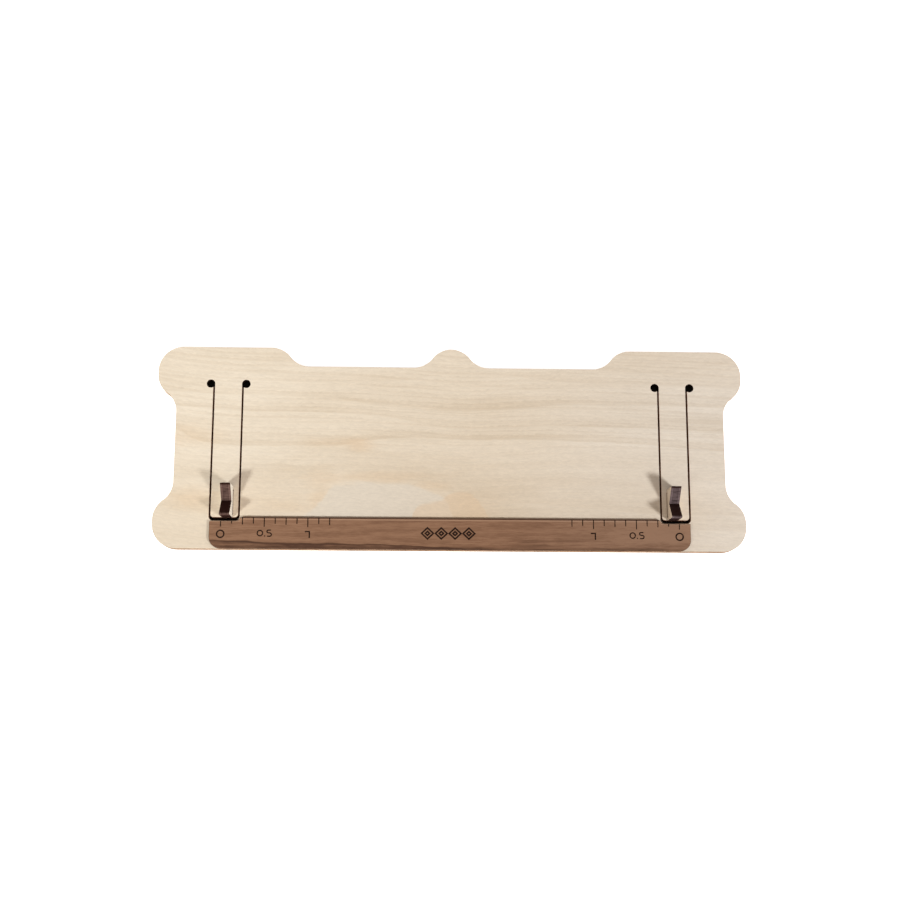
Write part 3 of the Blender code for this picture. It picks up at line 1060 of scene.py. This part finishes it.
def make_floor():
    """A white floor that glows, so that no shadow shows round the loom, with painted shade beneath it: a
    dark patch where the loom lies.
    """
    shape = bmesh.new()
    bmesh.ops.create_grid(shape, x_segments=1, y_segments=1, size=FLOOR_HALF_SIZE)
    mesh = bpy.data.meshes.new("floor")
    shape.to_mesh(mesh)
    shape.free()
    floor = add_object("floor", mesh)
    n = Nodes("floor")
    place = n.add("ShaderNodeTexCoord", {}).outputs["Object"]
    x, y, _ = n.split(place)
    past_x = n.difference(n.absolute(x), DARK_HALF_WIDTH)
    past_y = n.difference(n.absolute(y), DARK_HALF_DEPTH)
    outside = n.remap(n.math("MAXIMUM", past_x, past_y), 0.0, DARK_FADE)
    n.shader.inputs["Emission Color"].default_value = (1, 1, 1, 1)
    n.set(n.shader.inputs["Emission Strength"], n.product(outside, FLOOR_GLOW))
    colour = n.mix(outside, FLOOR_SHADE_UNDER_LOOM, FLOOR_PALE)
    floor.data.materials.append(n.finish(colour, 0.9))


def make_lamps():
    for name, radius, place, aim, colour, watts in LAMPS:
        light = bpy.data.lights.new(name, "SPOT")
        light.shadow_soft_size = radius
        light.spot_size = LAMP_CONE
        light.spot_blend = 1.0
        light.color = colour
        light.energy = watts
        lamp = add_object(name, light)
        lamp.location = place
        lamp.rotation_mode = "QUATERNION"
        lamp.rotation_quaternion = (Vector(aim) - Vector(place)).to_track_quat("-Z", "Y")


def make_sky():
    """A dim even sky overhead that turns white at the horizon, so that low views end in white."""
    world = bpy.data.worlds.new("sky")
    world.use_nodes = True
    tree = world.node_tree
    background = tree.nodes["Background"]
    place = tree.nodes.new("ShaderNodeTexCoord")
    split = tree.nodes.new("ShaderNodeSeparateXYZ")
    ramp = tree.nodes.new("ShaderNodeValToRGB")
    tree.links.new(place.outputs["Generated"], split.inputs[0])
    tree.links.new(split.outputs["Z"], ramp.inputs[0])
    tree.links.new(ramp.outputs[0], background.inputs["Color"])
    horizon, overhead = ramp.color_ramp.elements
    horizon.position, horizon.color = 0.10, SKY_HORIZON
    overhead.position, overhead.color = 0.35, SKY_OVERHEAD
    bpy.context.scene.world = world


def make_camera():
    """The view from nearly overhead, a little from the front, and turned slightly."""
    level = Vector((math.cos(CAMERA_AZIMUTH), -math.sin(CAMERA_AZIMUTH), 0))
    forward = Vector((math.sin(CAMERA_AZIMUTH), math.cos(CAMERA_AZIMUTH), 0))
    ahead = forward * math.cos(CAMERA_DOWN) - Vector((0, 0, math.sin(CAMERA_DOWN)))
    upward = level.cross(ahead)
    right = level * math.cos(CAMERA_ROLL) + upward * math.sin(CAMERA_ROLL)
    up = upward * math.cos(CAMERA_ROLL) - level * math.sin(CAMERA_ROLL)
    data = bpy.data.cameras.new("camera")
    data.lens = CAMERA_LENS
    data.sensor_width = CAMERA_SENSOR
    data.clip_start = 0.01
    camera = add_object("camera", data)
    turn = Matrix((right, up, -ahead)).transposed().to_4x4()
    camera.matrix_world = Matrix.Translation(CAMERA_PLACE) @ turn
    bpy.context.scene.camera = camera


# ---------------------------------------------------------------- the whole scene

top_veneer = make_top_veneer()
underside = make_plain_veneer("plywood_underside", UNDERSIDE_OFFSET, *UNDERSIDE_COLOURS)
sheet_middle = SHEET / 2 / MM
burnt_edge = make_burnt_edge("plywood_cut_edge", "Z", sheet_middle, *OUTER_EDGE)
charred_slot = make_burnt_edge("plywood_charred_slot", "Z", sheet_middle, *SLOT_EDGE)
charred_and_shaded_hole = make_burnt_edge("plywood_charred_hole", "Z", sheet_middle, *HOLE_CHAR_AND_SHADE)
make_plate_and_tongues([top_veneer, underside, burnt_edge, charred_slot, charred_and_shaded_hole])

for side_name, side_sign in SIDES.items():
    face_name = side_name + "_post_ply_face"
    post_face = make_plain_veneer(face_name, POST_FACE_OFFSET, *POST_FACE_LIT_AND_SHADED[side_name])
    post_middle = side_sign * POST_X / MM
    edge_name, edge_colours = side_name + "_post_edge", POST_EDGES_AND_SHEEN[side_name]
    post_edge = make_burnt_edge(edge_name, "X", post_middle, *edge_colours, POST_Y / MM)
    make_post(side_name, side_sign, post_face, post_edge)

walnut = make_walnut()
walnut_edge = make_scorched_walnut("walnut_cut_edge", *WALNUT_EDGE)
engraving = make_scorched_walnut("walnut_engraving", *ENGRAVING_COLOURS)
make_strip(walnut, walnut_edge, engraving)

make_floor()
make_lamps()
make_sky()
make_camera()
bpy.context.scene.view_settings.view_transform = "Standard"
